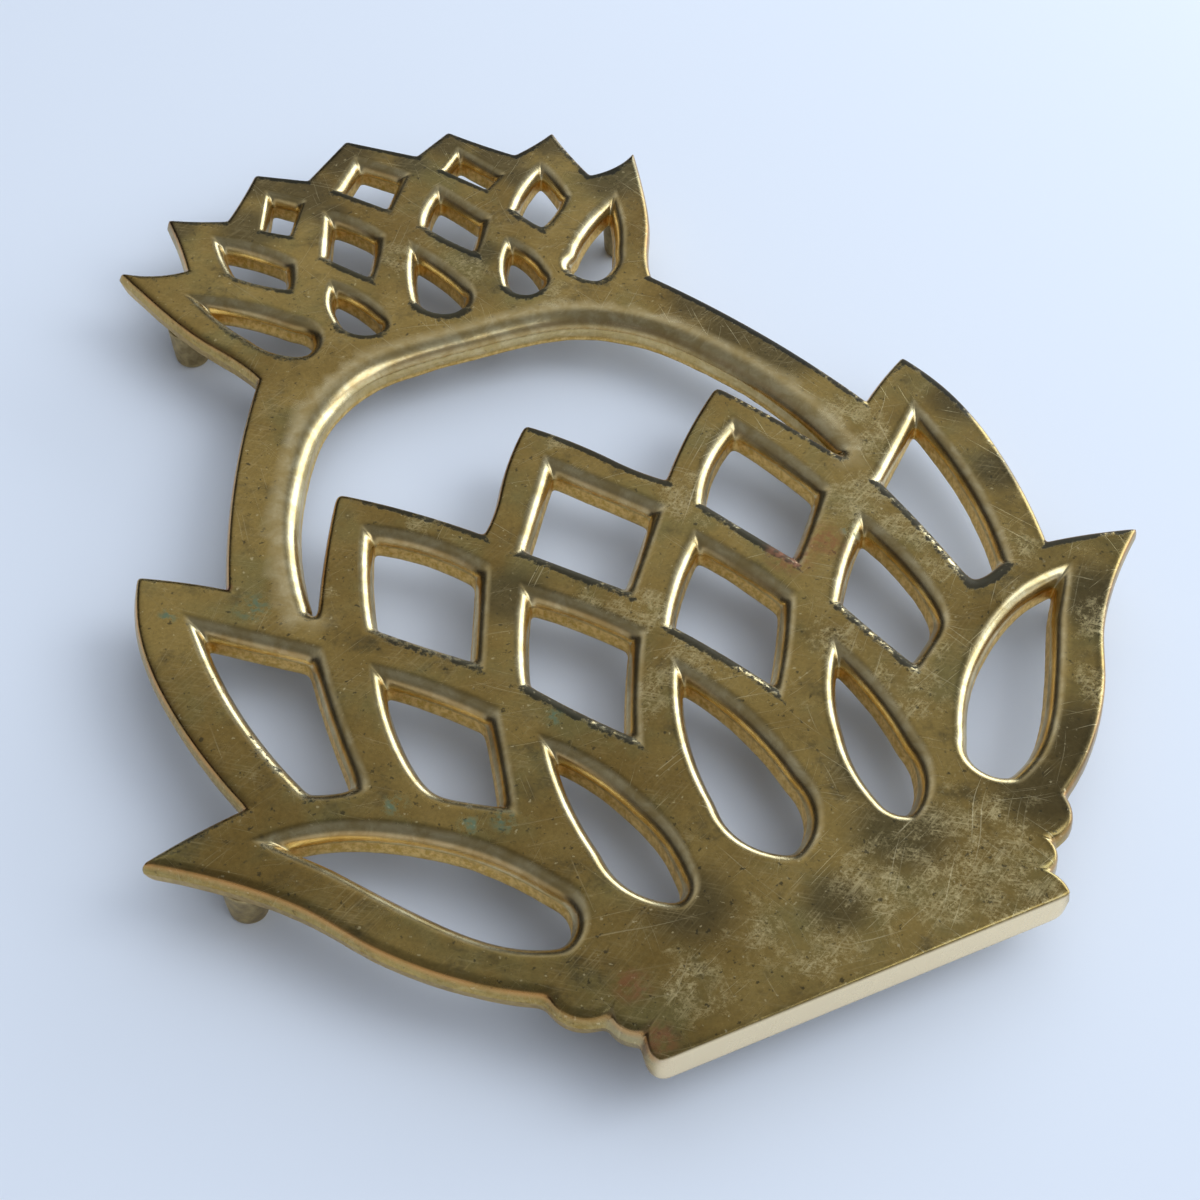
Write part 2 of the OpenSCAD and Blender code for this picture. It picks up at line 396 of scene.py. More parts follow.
def build_mesh(name, vertices, faces, attributes, material):
    """A smooth mesh object in metres, with its numbers for the material on its points."""
    mesh = bpy.data.meshes.new(name)
    mesh.from_pydata([tuple(v * MM) for v in vertices], [], faces)
    mesh.validate()
    for key, values in attributes.items():
        layer = mesh.attributes.new(key, "FLOAT", "POINT")
        layer.data.foreach_set("value", np.asarray(values, np.float32))
    mesh.polygons.foreach_set("use_smooth", [True] * len(mesh.polygons))
    piece = bpy.data.objects.new(name, mesh)
    bpy.context.scene.collection.objects.link(piece)
    bpy.context.view_layer.objects.active = piece
    piece.select_set(True)
    bpy.ops.object.mode_set(mode="EDIT")
    bpy.ops.mesh.select_all(action="SELECT")
    bpy.ops.mesh.normals_make_consistent(inside=False)
    bpy.ops.object.mode_set(mode="OBJECT")
    piece.select_set(False)
    mesh.materials.append(material)
    return piece


ATTRIBUTES = ("polish", "lip", "rim", "edge", "under", "base")
TOP_MARK = (1, 0, 0, 0, 0, 0)
UNDER_MARK = (0, 0, 0, 0, 1, 0)


def grime_and_shade_share(points, side):
    """How much dark tarnish and painted shade an outline carries at each point: painted shade by how
    squarely its edge faces away from the view, and thin tarnish on every edge.
    """
    travel = np.roll(points, -1, 0) - np.roll(points, 1, 0)
    faced = side * outward_of(travel / np.linalg.norm(travel, axis=1)[:, None])
    facing = np.clip(SHADE_SLOPE * (faced @ np.array(SHADED_SIDE)) - SHADE_START, 0, 1)
    return GRIME_ELSEWHERE + (1 - GRIME_ELSEWHERE) * soften(facing, SHADE_BLUR)


def base_corners(base_share):
    """One at the ends of the base edge, fading on both sides of them."""
    blend = soften(np.clip(3 * base_share - 2, 0, 1), CORNER_BLUR)
    return np.clip(5 * blend * (1 - blend), 0, 1)


def uneven_ring(flat, depth, raw, unit, side):
    """Points of one ring of a wall, moved in and out where the metal is raw from the mould."""
    placed = []
    for i, (x, y) in enumerate(flat):
        z = TOP_Z - depth[i]
        if raw[i] > RAW_FROM:
            lump = rough(x, y, z, CAST_LUMP, LUMP_SEED)
            push = lump + CAST_GRAIN_SHARE * rough(x, y, z, CAST_GRAIN, GRAIN_SEED)
            x, y = flat[i] - side * unit[i] * CAST_ROUGHNESS * raw[i] * (0.5 + push)
            if depth[i] > PLATE_T * LOWER_EDGE_FROM:
                wave = rough(x, y, 0, LOWER_EDGE_LENGTH, LOWER_EDGE_SEED)
                z += LOWER_EDGE_WAVE * raw[i] * (0.5 + wave)
        placed.append(np.array([x, y, z]))
    return placed


def wall_rings(points, grow, open_share, base_share, side):
    """The rings of points down the wall of one outline, each with its numbers for the material."""
    outer, opening, base = np.array(OUTER_SECTION), np.array(OPENING_SECTION), np.array(BASE_SLOPE)
    rings = len(outer)
    hoop = open_share.min() < open_share.max()
    lip_width = lip_share(points) if side < 0 else 1
    if hoop:
        lip_width = 1 + (HOOP_LIP - 1) * open_share
    points, grow = smooth_joints(points, grow)
    unit = grow / np.linalg.norm(grow, axis=1)[:, None]
    grime_and_shade = grime_and_shade_share(points, side)
    for ring in range(rings):
        section = outer[ring] + open_share[:, None] * (opening[ring] - outer[ring])
        reach = section[:, REACH] + base_share * (base[ring, REACH] - section[:, REACH])
        reach = np.where(reach > 0, reach * lip_width, reach)
        depth = section[:, DEPTH] + base_share * (base[ring, DEPTH] - section[:, DEPTH])
        smooth = np.clip(section[:, POLISH] + base_share, 0, 1) * (ring < rings - RAW_RINGS)
        if hoop and ring < rings - ROUGH_HOOP_RINGS:
            smooth = np.maximum(smooth, HOOP_POLISH * open_share)
            section[:, LIP] = np.maximum(section[:, LIP], HOOP_POLISH * open_share)
        # The rim carries dark tarnish, and painted shade where the edge faces away from the view
        section[:, RIM] *= grime_and_shade
        section[:, EDGE] *= 1 - base_share
        if ring in BASE_LINE_RINGS:
            section[:, UNDER] = np.maximum(section[:, UNDER], BASE_LINE * base_share)
        grown = points + side * reach[:, None] * grow
        flat = soften(grown, int((opening if side < 0 else outer)[ring, ROUNDS]))
        if base_share.any():
            corner = base_corners(base_share)[:, None] * min(1, depth.mean())
            flat = flat + corner * (soften(grown, CORNER_ROUNDS) - flat)
        raw = (1 - smooth) * (0 < ring < rings - 1)
        marks = np.column_stack([smooth, section[:, LIP:], base_share * (depth > BASE_COLOUR_FROM)])
        yield uneven_ring(flat, depth, raw, unit, side), marks


def build_plate(material):
    """The pierced casting: its walls ring by ring, its two faces, and the sockets under it."""
    vertices, marks, faces = [], [], []
    top_loops, bottom_loops, top_ids, bottom_ids = [], [], [], []
    for outline in outlines():
        first, count = len(vertices), len(outline[0])
        for ring, (placed, ring_marks) in enumerate(wall_rings(*outline)):
            if ring:
                faces += band(len(vertices) - count, len(vertices), count)
            vertices += placed
            marks.append(ring_marks)
        top_ids.append(np.arange(first, first + count))
        bottom_ids.append(np.arange(len(vertices) - count, len(vertices)))
        top_loops.append(np.array([vertices[i][:2] for i in top_ids[-1]]))
        bottom_loops.append(np.array([vertices[i][:2] for i in bottom_ids[-1]]))
    for foot in FEET:
        low, high = (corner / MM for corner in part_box(foot))
        middle = (low + high) / 2
        around = np.arange(SOCKET_SIDES) * 2 * math.pi / SOCKET_SIDES
        across = middle.x + SOCKET_R * np.cos(around)
        up = middle.y + SOCKET_R * np.sin(around)
        circle = np.column_stack([across, up])
        first = len(vertices)
        for z in (UNDERSIDE_Z, UNDERSIDE_Z + SOCKET_DEPTH):
            vertices += [np.array([x, y, z]) for x, y in circle]
        marks.append(np.repeat(np.array([UNDER_MARK], float), 2 * SOCKET_SIDES, 0))
        faces += band(first, first + SOCKET_SIDES, SOCKET_SIDES)
        faces.append(tuple(range(first + SOCKET_SIDES, first + 2 * SOCKET_SIDES)))
        bottom_ids.append(np.arange(first, first + SOCKET_SIDES))
        bottom_loops.append(circle)
    for loops, ids, z, mark in (
        (top_loops, top_ids, TOP_Z, TOP_MARK),
        (bottom_loops, bottom_ids, UNDERSIDE_Z, UNDER_MARK),
    ):
        added, triangles = fill_face(loops, FACE_GRID)
        index = np.concatenate(ids + [np.arange(len(vertices), len(vertices) + len(added))])
        vertices += [np.array([x, y, z]) for x, y in added]
        marks.append(np.repeat(np.array([mark], float), len(added), 0))
        faces += [tuple(int(index[i]) for i in face) for face in triangles]
    vertices = np.array(vertices)
    wave_top(vertices)
    for axis in (0, 1):
        vertices[:, axis] = np.clip(vertices[:, axis], plate_low[axis], plate_high[axis])
    attributes = dict(zip(ATTRIBUTES, np.concatenate(marks).T))
    return build_mesh("trivet_plate", vertices, faces, attributes, material)


def wave_top(vertices):
    """Lowers the top face and the start of its edges in shallow waves."""
    depth = TOP_Z - vertices[:, 2]
    for i in np.nonzero(depth < WAVE_REACH)[0]:
        x, y = vertices[i, :2]
        wave = 0.5
        for strength, length, seed in TOP_WAVES:
            wave += strength * rough(x, y, 0, length, seed)
        vertices[i, 2] -= WAVE_DEPTH * wave * (1 - depth[i] / WAVE_REACH)


# Section of a foot, as (share of the height to the plate, radius), from the middle of its tip upwards
FOOT_SECTION = (
    (0.0, 0.0), (0.0, 1.3), (0.004, 2.0), (0.015, 2.45), (0.04, 2.76), (0.08, 2.93), (0.14, 3.02),
    (0.24, 3.12), (0.36, 3.24), (0.48, 3.37), (0.6, 3.5), (0.72, 3.63), (0.82, 3.74), (0.9, 3.83),
    (0.95, 3.88), (0.985, 3.82), (1.0, 3.65), (1.0, 1.5), (1.36, 1.5), (1.36, 0.0),
)
FOOT_SIDES = 56
PEG_FROM = 17
FOOT_UNEVEN = 0.08
FOOT_LUMP = 1.4
# Lumps of a foot per radius round it, and how many times taller they are than wide
LUMPS_ROUND = 2
LUMPS_TALL = 3
WORN_TIP = 0.9
FIRST_FOOT_SEED = 2.5


def build_foot(node, material, seed):
    """One tapered foot with the slight unevenness of a casting and a tip that has worn round."""
    low, high = (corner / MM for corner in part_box(node))
    middle = (low + high) / 2
    vertices, faces, worn = [], [], []
    for level, (share, radius) in enumerate(FOOT_SECTION):
        z = share * plate_low.z
        for i in range(FOOT_SIDES):
            around = 2 * math.pi * i / FOOT_SIDES
            x, y = math.cos(around), math.sin(around)
            reach = radius
            if 1 < level < PEG_FROM:
                lump = rough(LUMPS_ROUND * x, LUMPS_ROUND * y, z / LUMPS_TALL, FOOT_LUMP, seed)
                reach = radius - FOOT_UNEVEN * (0.5 + lump)
            vertices.append(np.array([middle.x + reach * x, middle.y + reach * y, low.z + z]))
            worn.append(max(0.0, 1 - z / WORN_TIP))
        if level:
            faces += band((level - 1) * FOOT_SIDES, level * FOOT_SIDES, FOOT_SIDES)
    vertices, faces, worn = weld_ends(vertices, faces, worn)
    return build_mesh("trivet_" + node, vertices, faces, {"worn": worn}, material)


def weld_ends(vertices, faces, worn):
    """Makes one point of each end ring of a foot, which has no radius."""
    top = len(FOOT_SECTION) - 1
    last = 1 + (top - 1) * FOOT_SIDES

    def moved(i):
        if i < FOOT_SIDES:
            return 0
        return last if i >= top * FOOT_SIDES else i - FOOT_SIDES + 1

    kept = [0, *range(FOOT_SIDES, top * FOOT_SIDES), top * FOOT_SIDES]
    welded = []
    for face in faces:
        ids = list(dict.fromkeys(moved(i) for i in face))
        welded.append(tuple(ids))
    return [vertices[i] for i in kept], welded, [worn[i] for i in kept]


class Nodes:
    """Short words for building a node tree."""

    def __init__(self, tree):
        self.tree = tree
        tree.nodes.clear()

    def add(self, kind, settings=(), **inputs):
        """A node with these settings and inputs, where an underscore in a name stands for a space."""
        node = self.tree.nodes.new(kind)
        for key, value in dict(settings).items():
            setattr(node, key, value)
        for key, value in inputs.items():
            self.put(node.inputs[key.replace("_", " ")], value)
        return node

    def put(self, socket, value):
        """Links the socket to another, or sets it."""
        if isinstance(value, bpy.types.NodeSocket):
            self.tree.links.new(value, socket)
        else:
            socket.default_value = value

    def put_all(self, node, *values):
        """Fills the first inputs of a node in their order, and returns the node."""
        for i, value in enumerate(values):
            self.put(node.inputs[i], value)
        return node

    def maths(self, operation, a, b, clamp=False):
        node = self.add("ShaderNodeMath", {"operation": operation, "use_clamp": clamp})
        return self.put_all(node, a, b).outputs[0]

    def plus(self, a, b, clamp=False):
        return self.maths("ADD", a, b, clamp)

    def minus(self, a, b):
        return self.maths("SUBTRACT", a, b)

    def times(self, a, b):
        return self.maths("MULTIPLY", a, b)

    def larger(self, a, b):
        return self.maths("MAXIMUM", a, b)

    def vector_maths(self, operation, *values):
        node = self.add("ShaderNodeVectorMath", {"operation": operation})
        return self.put_all(node, *values)

    def shift(self, vector, offset):
        return self.vector_maths("ADD", vector, offset).outputs[0]

    def noise(self, vector, size, detail, roughness=0.55, distortion=0.0):
        """Noise whose features are size units of the vector across."""
        node = self.add("ShaderNodeTexNoise", Vector=vector, Scale=1 / size, Detail=detail)
        node.inputs["Roughness"].default_value = roughness
        node.inputs["Distortion"].default_value = distortion
        return node.outputs[0]

    def step(self, value, low, high, out_low=0.0, out_high=1.0):
        """Smooth step of value from low to high."""
        node = self.add("ShaderNodeMapRange", {"interpolation_type": "SMOOTHSTEP"})
        return self.put_all(node, value, low, high, out_low, out_high).outputs[0]

    def mix(self, factor, a, b, blend="MIX"):
        """A blend of two colours."""
        node = self.add("ShaderNodeMix", {"data_type": "RGBA", "blend_type": blend})
        self.put(node.inputs[0], factor)
        for i, colour in ((6, a), (7, b)):
            self.put(node.inputs[i], (*colour, 1) if isinstance(colour, tuple) else colour)
        return node.outputs[2]

    def blend_value(self, factor, a, b):
        """A blend of two numbers."""
        node = self.add("ShaderNodeMix")
        for i, value in ((0, factor), (2, a), (3, b)):
            self.put(node.inputs[i], value)
        return node.outputs[0]

    def attribute(self, name):
        return self.add("ShaderNodeAttribute", {"attribute_name": name}).outputs["Fac"]

    def finish(self, kind, shader):
        """Makes this shader the surface of a material or the world."""
        out = self.add(kind)
        self.put(out.inputs["Surface"], shader.outputs[0])


# Directions of the families of fine scratches, in degrees, with their length and width in millimetres
SCRATCHES = (
    (9, 36, 0.3), (38, 16, 0.24), (67, 48, 0.32), (96, 20, 0.25), (133, 30, 0.28), (161, 13, 0.22),
)
# How far the scratches bend, over what length, how far the families stand apart, and where they gather
SCRATCH_BEND = 4
BEND_LENGTH = 22
FAMILY_SHIFT = (7.3, 3.9)
GATHER_SHIFT = (31, 17, 5)
GATHER_SIZE = 13
# The same three numbers for the two directions of short scuffs
SCUFFS = ((35, 6.0, 0.3), (-28, 8.0, 0.34))
# Places on the top face, as (x, y, radius), where the tarnish is rubbed through, where it is green or
# coppery, and where the top is darker
RUBBED = (
    (30, -59, 5), (39, -52, 3), (52, -2, 4), (53, -7, 5), (18, -10, 5), (15, -2, 3),
    (23, -18, 3), (45, -20, 5), (48, -30, 4), (49, -40, 3), (0, -29, 4), (-6, -44, 5),
    (5, -41, 5), (25, -89, 9), (17, -91, 9), (25, -96, 6), (8, -88, 6), (-4, -94, 5),
    (-23, -92, 5), (-11, -88, 4), (-3, 64, 4), (6, 57, 4), (31, 56, 3), (18, 46, 4), (-44, -7, 2),
    (67, -59, 4), (59, -69, 3), (2, -67, 4), (25, -46, 4), (4, 10, 3), (-8, -26, 3), (-25, 2, 3),
    (62, -40, 4),
)
GREEN = (
    (-68.2, -2.8, 1.0), (-55.8, -6, 1.8), (-49.4, -48.7, 1.3), (-40.9, -56, 1.1), (-36, -57.2, 1.4),
    (39.3, -26.7, 1.1), (-22, -43, 1.0),
)
COPPERY = (
    (-31.2, -88.3, 1.8), (-31.4, -97.1, 1.8), (27.3, -27.8, 2.8), (34.3, -27.1, 2.6), (-58, -0.6, 0.6),
)
DARK = (
    (50, 16, 6), (46, 25, 6), (43, 33, 5), (50, -79, 7), (39, -83, 6), (16, -81, 6),
    (-18, -19, 5), (1, -88, 4), (-30, -15, 4), (73, -7, 4), (-14, 87, 6), (-2, 94, 5),
    (25, 84, 5), (11, 60, 3), (-26, 81, 5), (43, 71, 5), (70, -24, 4), (17, -70, 5),
    (-18, -80, 5), (22, 33, 4),
    (-1, 97, 4), (18, 93, 4), (37, 86, 4), (48, 74, 4), (-20, 93, 4), (-38, 86, 3),
    (9, 89, 3), (-11, 80, 3), (69, -55, 6), (27, 78, 3),
)
# How softly the spots of each kind end
WIDE_SPOT = 1.8
GREEN_SPOT = 2.2
COPPER_SPOT = 2
# How much the rubbed spots add to the pattern of rubbing, and the edges to the pattern of dark tarnish and
# painted shade
RUB_BIAS = 0.2
GRIME_AND_SHADE_BIAS = 0.47
# Colours of the metal. A pair is the two ends of a blend.
TOP_BRASS = ((0.28, 0.185, 0.055), (0.42, 0.295, 0.095))
GREENISH_BRASS = (0.26, 0.235, 0.095)
DARK_BRASS = (0.10, 0.082, 0.042)
RUBBED_BRASS = (0.70, 0.57, 0.29)
SCRATCHED_BRASS = (0.90, 0.78, 0.48)
SCUFFED_BRASS = (0.70, 0.57, 0.30)
GRAIN_SHADES = ((0.55, 0.55, 0.55), (1.45, 1.45, 1.45))
DARK_SPECK = (0.07, 0.06, 0.035)
PALE_FLECK = (0.80, 0.68, 0.40)
LIP_BRASS = ((0.56, 0.42, 0.18), (0.80, 0.68, 0.40))
BASE_BRASS = ((0.92, 0.73, 0.45), (1.0, 0.83, 0.54))
# Near black for dark tarnish and for painted shade along the edges that face away from the view
TARNISH_AND_SHADE_BLACK = (0.02, 0.018, 0.011)
# Copper orange for a painted warm highlight along the rounded outer edges
COPPER_GLINT = (0.62, 0.32, 0.11)
CAST_BRASS = ((0.66, 0.40, 0.09), (0.92, 0.66, 0.25))
CAST_PIT = (0.28, 0.15, 0.04)
UNDER_BRASS = ((0.16, 0.12, 0.06), (0.36, 0.28, 0.15))
GREEN_STAIN = (0.06, 0.14, 0.08)
COPPER_STAIN = (0.42, 0.16, 0.08)
FOOT_BRASS = ((0.30, 0.215, 0.095), (0.56, 0.43, 0.21))
WORN_BRASS = (0.78, 0.66, 0.38)
# How strongly each mark covers the metal under it
COVER = {
    "greenish": 0.6, "dark spot": 0.95, "dark": 0.78, "rubbed": 0.85, "scratch": 0.6, "scuffed": 0.35,
    "specks": 0.75, "flecks": 0.55, "grime_and_shade": 0.93, "pits": 0.3, "green stain": 0.75, "copper stain": 0.6,
    "worn": 0.6,
}
# Random patterns, as (shift that keeps it apart from the others, size in millimetres, detail, roughness)
PATTERNS = {
    "broad": ((0, 0, 0), 26, 3, 0.55),
    "grain": ((0, 0, 0), 0.55, 6, 0.75),
    "greenish": ((12, 70, 3), 15, 4, 0.6),
    "dark": ((40, 9, 3), 8, 10, 0.68),
    "scuffed": ((5, 60, 2), 10, 5, 0.55),
    "specks": ((8, 2, 30), 1.3, 3, 0.65),
    "flecks": ((18, 22, 3), 1.0, 2, 0.6),
    "patchy_grime_and_shade": ((50, 4, 9), 9, 4, 0.55),
    "grime_and_shade": ((2, 44, 9), 1.2, 8, 0.8),
    "copper glint": ((0, 0, 0), 7, 3, 0.55),
    "cast": ((0, 0, 0), 0.9, 6, 0.7),
    "pits": ((3, 5, 8), 2.4, 5, 0.7),
    "stains": ((0, 0, 0), 1.6, 6, 0.7),
    "lumps": ((0, 0, 0), 5, 3, 0.55),
    "foot": ((0, 0, 0), 1.7, 6, 0.62),
    "foot grain": ((0, 0, 0), 0.5, 4, 0.55),
}
# The mottling is swirled a little, so it also has a distortion
MOTTLE = (4.2, 12, 0.7, 0.4)
# Where each value starts to show and where it shows in full, and what it gives there if not 0 and 1
SHOWS = {
    "broad": (0.35, 0.65),
    "greenish": (0.45, 0.7),
    "dark": (0.52, 0.72),
    "rubbed across": (-60, 50, -0.07, -0.04),
    "rubbed": (0.53, 0.72),
    "rubbed grain": (0.42, 0.66),
    "scratched across": (-60, 30, 0.3, 1.0),
    "scratch": (0.67, 0.75),
    "gathered": (0.40, 0.66),
    "scuff": (0.5, 0.72),
    "scuffed": (0.4, 0.7),
    "specks": (0.63, 0.68),
    "flecks": (0.68, 0.72),
    "lip": (0.35, 0.7),
    "patchy_grime_and_shade": (0.36, 0.56, 0.62, 1.0),
    "grimy across": (-50, 5, 0.5, 1.0),
    "grimy along": (-72, -38, 0.3, 1.0),
    "grime_and_shade": (0.69, 0.8),
    "grime on the rim": (0.03, 0.2),
    "copper glint": (0.35, 0.6, 0.35, 0.85),
    "cast": (0.38, 0.62),
    "pits": (0.55, 0.7),
    "green stain": (0.44, 0.62),
    "copper stain": (0.35, 0.62),
    "top roughness": (0.3, 0.7, 0.20, 0.29),
    "cast roughness": (0.3, 0.7, 0.34, 0.55),
    "foot": (0.3, 0.7),
    "foot roughness": (0.3, 0.7, 0.36, 0.56),
}
# Roughness of the lips and the underside, and how much each mark adds
LIP_ROUGHNESS = 0.25
UNDER_ROUGHNESS = 0.62
ROUGHER = {"rubbed": 0.16, "scratch": 0.1, "grime_and_shade": 0.3, "green stain": 0.3}
# How much less metallic these marks are, and how shiny plain metal and the dark tarnish with painted shade
# are
DULL = {"green stain": 0.8, "grime_and_shade": 0.9}
SHINE = (0.5, 0.06)
# Height of each pattern on raw and on smooth metal, how deep scratches are, and the height of it all in
# millimetres on the plate and on a foot
HEIGHTS = {"grain": (0.6, 0.05), "cast": (1.6, 0.0), "lumps": (1.0, 0.5)}
SCRATCH_DEPTH = 0.1
FOOT_GRAIN = 0.3
PLATE_BUMP = 0.06
FOOT_BUMP = 0.16


class Metal(Nodes):
    """The nodes of one metal, with the place on the object in millimetres."""

    def __init__(self, name):
        self.material = bpy.data.materials.new(name)
        self.material.use_nodes = True
        super().__init__(self.material.node_tree)
        place_of = self.add("ShaderNodeTexCoord").outputs["Object"]
        scaled = self.add("ShaderNodeVectorMath", {"operation": "SCALE"}, Vector=place_of, Scale=1 / MM)
        self.where = scaled.outputs[0]
        parts = self.add("ShaderNodeSeparateXYZ", Vector=self.where)
        self.across, self.along = parts.outputs["X"], parts.outputs["Y"]

    def pattern(self, name):
        offset, size, detail, roughness = PATTERNS[name]
        return self.noise(self.shift(self.where, offset), size, detail, roughness)

    def shown(self, value, name):
        return self.step(value, *SHOWS[name])

    def patches(self, name):
        """Where the pattern of this name shows."""
        return self.shown(self.pattern(name), name)

    def cover(self, under, colour, amount, name):
        """The metal under a mark of this colour."""
        return self.mix(self.times(amount, COVER[name]), under, colour)

    def spots(self, places, softness):
        """Largest of the soft round spots at these places on the top face."""
        total = 0.0
        flat = self.vector_maths("MULTIPLY", self.where, (1, 1, 0)).outputs[0]
        for x, y, radius in places:
            away = self.vector_maths("DISTANCE", flat, (x, y, 0)).outputs["Value"]
            total = self.larger(self.step(away, radius / softness, radius * softness, 1, 0), total)
        return total

    def stretched(self, where, angle, length, width, start=(0, 0, 0)):
        """A place turned by an angle in degrees, and counted in lengths and widths of a streak."""
        rotation = (0, 0, math.radians(angle))
        turned = self.add("ShaderNodeMapping", Vector=where, Location=start, Rotation=rotation)
        return self.vector_maths("MULTIPLY", turned.outputs[0], (1 / length, 1 / width, 0)).outputs[0]

    def scuffs(self, angle, length, width):
        """Short streaks in one direction."""
        return self.shown(self.noise(self.stretched(self.where, angle, length, width), 1, 2, 0.6), "scuff")

    def scratches(self):
        """Thin scratches in several directions, slightly bent, and gathered in some patches."""
        total = 0.0
        bend = self.add("ShaderNodeTexNoise", Vector=self.where, Scale=1 / BEND_LENGTH, Detail=1)
        amount = (SCRATCH_BEND, SCRATCH_BEND, 0)
        bent = self.vector_maths("MULTIPLY_ADD", bend.outputs["Color"], amount, self.where).outputs[0]
        for i, family in enumerate(SCRATCHES):
            start = (FAMILY_SHIFT[0] * i, FAMILY_SHIFT[1] * i, 0)
            line = self.shown(self.noise(self.stretched(bent, *family, start), 1, 1), "scratch")
            offset = (GATHER_SHIFT[0] * i, *GATHER_SHIFT[1:])
            gathered = self.noise(self.shift(self.where, offset), GATHER_SIZE, 3)
            total = self.larger(self.times(line, self.shown(gathered, "gathered")), total)
        return total

    def bumpy(self, height, distance):
        """The normal for this height."""
        return self.add("ShaderNodeBump", Height=height, Distance=distance * MM).outputs[0]


def top_metal(metal, mottle, grain):
    """Colour of the top face, how much it is rubbed, and its scratches."""
    top = metal.mix(metal.patches("broad"), *TOP_BRASS)
    top = metal.cover(top, GREENISH_BRASS, metal.patches("greenish"), "greenish")
    dark_spots = metal.times(metal.spots(DARK, WIDE_SPOT), COVER["dark spot"])
    top = metal.cover(top, DARK_BRASS, metal.larger(dark_spots, metal.patches("dark")), "dark")
    rub = metal.plus(mottle, metal.times(metal.spots(RUBBED, WIDE_SPOT), RUB_BIAS))
    rub = metal.shown(metal.plus(rub, metal.shown(metal.across, "rubbed across")), "rubbed")
    scuffs = metal.larger(metal.scuffs(*SCUFFS[0]), metal.scuffs(*SCUFFS[1]))
    rub = metal.times(rub, metal.larger(scuffs, metal.shown(grain, "rubbed grain")))
    top = metal.cover(top, RUBBED_BRASS, rub, "rubbed")
    scratches = metal.times(metal.scratches(), metal.shown(metal.across, "scratched across"))
    top = metal.cover(top, SCRATCHED_BRASS, scratches, "scratch")
    top = metal.cover(top, SCUFFED_BRASS, metal.times(scuffs, metal.patches("scuffed")), "scuffed")
    top = metal.mix(1.0, top, metal.mix(grain, *GRAIN_SHADES), "MULTIPLY")
    top = metal.cover(top, DARK_SPECK, metal.patches("specks"), "specks")
    top = metal.cover(top, PALE_FLECK, metal.patches("flecks"), "flecks")
    return top, rub, scratches


def edge_grime_and_shade(metal, rim):
    """Dark tarnish and painted shade along the edges that carry them, in patches, and thinner to the left
    and the base.
    """
    rim = metal.times(rim, metal.patches("patchy_grime_and_shade"))
    rim = metal.times(rim, metal.shown(metal.across, "grimy across"))
    rim = metal.times(rim, metal.shown(metal.along, "grimy along"))
    grime_and_shade = metal.plus(metal.pattern("grime_and_shade"), metal.times(rim, GRIME_AND_SHADE_BIAS))
    return metal.times(metal.shown(grime_and_shade, "grime_and_shade"), metal.shown(rim, "grime on the rim"))


def brass_plate():
    """Tarnished brass: olive and scratched on top, brown on the lips, golden and grainy in the openings."""
    metal = Metal("aged_plate_brass")
    polish, lip, rim, edge, under, base = (metal.attribute(name) for name in ATTRIBUTES)
    mottle = metal.noise(metal.where, *MOTTLE)
    grain = metal.pattern("grain")
    cast = metal.pattern("cast")
    stains = metal.pattern("stains")

    top, rub, scratches = top_metal(metal, mottle, grain)
    colour = metal.mix(lip, top, metal.mix(metal.shown(mottle, "lip"), *LIP_BRASS))
    colour = metal.mix(base, colour, metal.mix(mottle, *BASE_BRASS))
    # Near black along the edges: tarnish, and painted shade on edges that face away from the view
    grime_and_shade = edge_grime_and_shade(metal, rim)
    colour = metal.cover(colour, TARNISH_AND_SHADE_BLACK, grime_and_shade, "grime_and_shade")
    # A painted copper highlight along the rounded outer edges, in patches
    colour = metal.mix(metal.times(edge, metal.patches("copper glint")), colour, COPPER_GLINT)
    raw = metal.mix(metal.shown(cast, "cast"), *CAST_BRASS)
    raw = metal.cover(raw, CAST_PIT, metal.patches("pits"), "pits")
    colour = metal.mix(polish, raw, colour)
    colour = metal.mix(under, colour, metal.mix(cast, *UNDER_BRASS))
    green = metal.times(metal.spots(GREEN, GREEN_SPOT), metal.shown(stains, "green stain"))
    green = metal.times(green, polish)
    colour = metal.cover(colour, GREEN_STAIN, green, "green stain")
    copper = metal.times(metal.spots(COPPERY, COPPER_SPOT), metal.shown(stains, "copper stain"))
    colour = metal.cover(colour, COPPER_STAIN, copper, "copper stain")

    worn = metal.times(rub, ROUGHER["rubbed"])
    worn = metal.plus(worn, metal.times(scratches, ROUGHER["scratch"]))
    roughness = metal.plus(metal.shown(mottle, "top roughness"), worn)
    roughness = metal.blend_value(lip, roughness, LIP_ROUGHNESS)
    roughness = metal.plus(roughness, metal.times(grime_and_shade, ROUGHER["grime_and_shade"]))
    roughness = metal.blend_value(polish, metal.shown(cast, "cast roughness"), roughness)
    roughness = metal.blend_value(under, roughness, UNDER_ROUGHNESS)
    roughness = metal.plus(roughness, metal.times(green, ROUGHER["green stain"]), True)

    fine = metal.times(grain, metal.blend_value(polish, *HEIGHTS["grain"]))
    coarse = metal.times(cast, metal.blend_value(polish, *HEIGHTS["cast"]))
    lumps = metal.times(metal.pattern("lumps"), metal.blend_value(polish, *HEIGHTS["lumps"]))
    height = metal.plus(metal.plus(fine, coarse), lumps)
    height = metal.minus(height, metal.times(scratches, metal.times(polish, SCRATCH_DEPTH)))

    shader = metal.add("ShaderNodeBsdfPrincipled", Base_Color=colour, Roughness=roughness)
    metal.put(shader.inputs["Normal"], metal.bumpy(height, PLATE_BUMP))
    dull = metal.larger(metal.times(green, DULL["green stain"]), metal.times(grime_and_shade, DULL["grime_and_shade"]))
    metal.put(shader.inputs["Metallic"], metal.minus(1.0, dull))
    metal.put(shader.inputs["Specular IOR Level"], metal.blend_value(grime_and_shade, *SHINE))
    metal.finish("ShaderNodeOutputMaterial", shader)
    return metal.material


